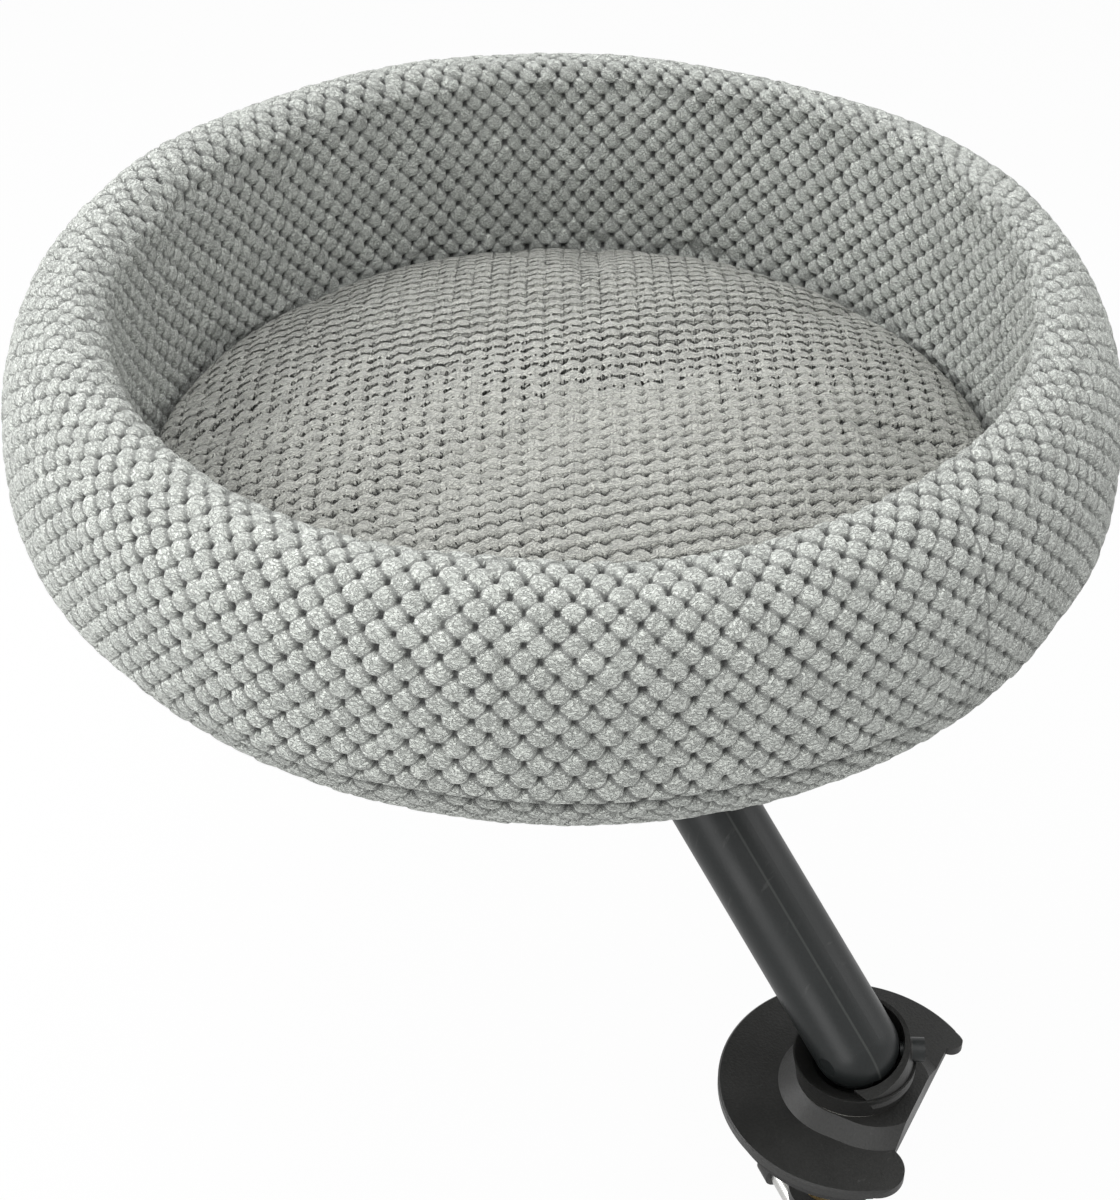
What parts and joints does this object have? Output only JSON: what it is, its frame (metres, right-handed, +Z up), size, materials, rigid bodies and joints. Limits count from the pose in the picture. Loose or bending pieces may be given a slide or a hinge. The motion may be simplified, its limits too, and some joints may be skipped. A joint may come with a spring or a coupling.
{
  "type": "desk mounted pet bed",
  "caption": "Round padded pet bed in a knitted cover, held over a desk's edge by a leaning tube arm with swivel and tilt joints and a screw clamp.",
  "frame": {"origin": "centre of the underside of the desk pad, where it rests on the desk top", "axes": "+Z up off the desk, the bed hangs out towards -X, and +Y completes a right-handed frame"},
  "size_m": [0.4315, 0.424, 0.4418],
  "materials": {
    "black_casting": "matt black powder coat",
    "tube_paint": "satin black paint",
    "black_plastic": "matt black moulded plastic",
    "black_steel": "blackened steel",
    "steel": "zinc plated",
    "nylon": "natural nylon",
    "rubber": "matt rubber",
    "brass": "plain brass",
    "knit": "chunky fuzzy knit, pale sage grey",
    "foam": "soft open foam",
    "plywood": "raw plywood"
  },
  "bodies": {
    "clamp": {"desk_pad": "rubber", "jaw_plate": "black_casting", "clamp_bracket": "black_casting", "clamp_nut": "brass", "base_flange": "black_casting", "base_flange_screws": "steel"},
    "pressure": {"pressure_plate": "steel", "pressure_pad": "rubber"},
    "screw": {"clamp_screw": "steel"},
    "handle": {"clamp_handle": "steel", "handle_caps": "black_plastic"},
    "base_swivel": {"base_turret": "black_casting", "base_swivel_washer": "nylon", "base_retaining_washer": "steel", "base_retaining_screw": "steel"},
    "base_lock": {"base_lock_screw": "black_steel"},
    "arm": {"lower_knuckle": "tube_paint", "arm_tube": "tube_paint", "upper_knuckle": "tube_paint", "base_pivot_pin": "black_steel", "base_tilt_washers": "nylon", "top_pivot_pin": "black_steel", "top_tilt_washers": "nylon"},
    "top_swivel": {"top_turret": "black_casting", "top_swivel_washer": "nylon", "top_retaining_washer": "steel", "top_retaining_screw": "steel"},
    "top_lock": {"top_lock_screw": "black_steel"},
    "bed": {"top_flange": "black_casting", "top_flange_screws": "steel", "base_board": "plywood", "base_foam": "foam", "bottom_cover": "knit", "wall_foam": "foam", "wall_cover": "knit"},
    "cushion": {"cushion_fill": "foam", "cushion_cover": "knit"}
  },
  "joints": [
    {"name": "clamp_travel", "type": "slide", "parent": "clamp", "child": "pressure", "axis": [0, 0, 1], "range_m": [-0.0301, 0.0181]},
    {"name": "screw_turn", "type": "hinge", "parent": "pressure", "child": "screw", "pos_m": [-0.01128, 0.0041, -0.041], "axis": [0, 0, 1], "range_deg": [-3600, 2160]},
    {"name": "handle_slide", "type": "slide", "parent": "screw", "child": "handle", "axis": [0.9397, -0.342, 0], "range_m": [-0.03, 0.03]},
    {"name": "base_pan", "type": "hinge", "parent": "clamp", "child": "base_swivel", "pos_m": [0, 0, 0.018], "axis": [0, 0, 1], "continuous": true},
    {"name": "base_lock_turn", "type": "hinge", "parent": "base_swivel", "child": "base_lock", "pos_m": [0.01577, 0.01633, 0.034], "axis": [0.6947, 0.7193, 0], "range_deg": [0, 360]},
    {"name": "base_tilt", "type": "hinge", "parent": "base_swivel", "child": "arm", "pos_m": [0, 0, 0.0356], "axis": [0, 1, 0], "range_deg": [-6, 50]},
    {"name": "bed_tilt", "type": "hinge", "parent": "arm", "child": "top_swivel", "pos_m": [-0.17236, 0, 0.18023], "axis": [0, 1, 0], "range_deg": [-50, 6]},
    {"name": "top_lock_turn", "type": "hinge", "parent": "top_swivel", "child": "top_lock", "pos_m": [-0.18813, 0.01633, 0.18183], "axis": [-0.6947, 0.7193, 0], "range_deg": [0, 360]},
    {"name": "bed_swivel", "type": "hinge", "parent": "top_swivel", "child": "bed", "pos_m": [-0.17236, 0, 0.19783], "axis": [0, 0, 1], "continuous": true},
    {"name": "cushion_lift", "type": "slide", "parent": "bed", "child": "cushion", "axis": [0, 0, 1], "range_m": [0, 0.12]}
  ],
  "couplings": [
    {"joint": "clamp_travel", "follows": "screw_turn", "m_per_rad": 0.00047746}
  ]
}
